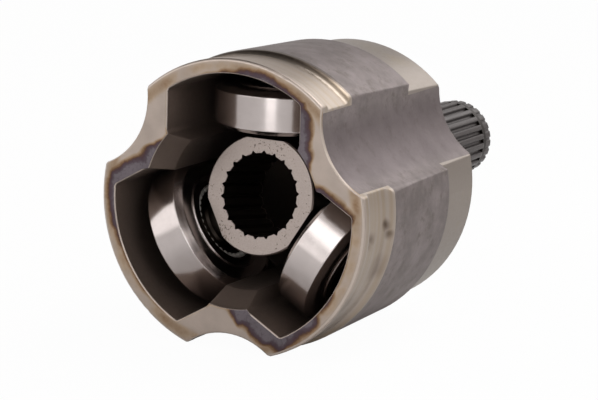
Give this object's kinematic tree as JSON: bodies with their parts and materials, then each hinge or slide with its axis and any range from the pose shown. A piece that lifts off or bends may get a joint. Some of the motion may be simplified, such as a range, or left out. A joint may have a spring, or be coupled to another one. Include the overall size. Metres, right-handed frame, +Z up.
{
  "type": "tripod constant velocity joint",
  "caption": "Plunging inner drive-shaft joint: three-lobed tulip with splined stub shaft, holding a splined spider whose ball-ended trunnions carry needle-bearing rollers.",
  "frame": {"origin": "centre of the open mouth's plane, on the joint axis", "axes": "+Y along the joint axis from the mouth to the stub shaft, +Z up through one lobe, +X to the right seen from the mouth"},
  "size_m": [0.0815, 0.137, 0.079],
  "materials": {
    "forged_steel": "forged and partly turned steel, dark oiled grey, heat-tinted at the mouth",
    "ground_steel": "ground and tempered steel",
    "bearing_steel": "polished bearing steel",
    "needle_steel": "polished needle rollers",
    "ring_steel": "ground bearing steel",
    "washer_steel": "pressed steel",
    "spring_steel": "oiled spring steel"
  },
  "bodies": {
    "housing": {"tulip_housing": "forged_steel", "stub_circlip": "spring_steel"},
    "lower_rings": {"inner_ring_left": "ring_steel", "inner_ring_right": "ring_steel"},
    "spider": {"spider": "ground_steel"},
    "top_ring": {"inner_ring_top": "ring_steel"},
    "roller_set_top": {"roller_top": "bearing_steel", "snap_ring_inner_top": "spring_steel", "washer_outer_top": "washer_steel", "snap_ring_outer_top": "spring_steel"},
    "needle_row_top": {"needles_top": "needle_steel"},
    "roller_set_left": {"roller_left": "bearing_steel", "snap_ring_inner_left": "spring_steel", "washer_outer_left": "washer_steel", "snap_ring_outer_left": "spring_steel"},
    "needle_row_left": {"needles_left": "needle_steel"},
    "roller_set_right": {"roller_right": "bearing_steel", "snap_ring_inner_right": "spring_steel", "washer_outer_right": "washer_steel", "snap_ring_outer_right": "spring_steel"},
    "needle_row_right": {"needles_right": "needle_steel"}
  },
  "joints": [
    {"name": "plunge", "type": "slide", "parent": "housing", "child": "lower_rings", "axis": [0, 1, 0], "range_m": [-0.012, 0.008]},
    {"name": "articulation", "type": "hinge", "parent": "lower_rings", "child": "spider", "pos_m": [0, 0.02428, -0.01215], "axis": [-1, 0, 0], "range_deg": [-23.6, 6.4]},
    {"name": "top_ring_level", "type": "hinge", "parent": "spider", "child": "top_ring", "pos_m": [0, 0.02973, 0.02389], "axis": [-1, 0, 0], "range_deg": [-6.4, 23.6]},
    {"name": "roller_spin_top", "type": "hinge", "parent": "top_ring", "child": "roller_set_top", "pos_m": [0, 0.02973, 0.02449], "axis": [0, 0, 1], "continuous": true},
    {"name": "needle_orbit_top", "type": "hinge", "parent": "top_ring", "child": "needle_row_top", "pos_m": [0, 0.02973, 0.02449], "axis": [0, 0, 1], "continuous": true},
    {"name": "roller_spin_left", "type": "hinge", "parent": "lower_rings", "child": "roller_set_left", "pos_m": [-0.02079, 0.02428, -0.012], "axis": [-0.866, 0, -0.5], "continuous": true},
    {"name": "needle_orbit_left", "type": "hinge", "parent": "lower_rings", "child": "needle_row_left", "pos_m": [-0.02079, 0.02428, -0.012], "axis": [-0.866, 0, -0.5], "continuous": true},
    {"name": "roller_spin_right", "type": "hinge", "parent": "lower_rings", "child": "roller_set_right", "pos_m": [0.02079, 0.02428, -0.012], "axis": [0.866, 0, -0.5], "continuous": true},
    {"name": "needle_orbit_right", "type": "hinge", "parent": "lower_rings", "child": "needle_row_right", "pos_m": [0.02079, 0.02428, -0.012], "axis": [0.866, 0, -0.5], "continuous": true}
  ],
  "couplings": [
    {"joint": "top_ring_level", "follows": "articulation", "ratio": -1},
    {"joint": "needle_orbit_top", "follows": "roller_spin_top", "ratio": 0.54875},
    {"joint": "needle_orbit_left", "follows": "roller_spin_left", "ratio": 0.54875},
    {"joint": "needle_orbit_right", "follows": "roller_spin_right", "ratio": 0.54875}
  ]
}
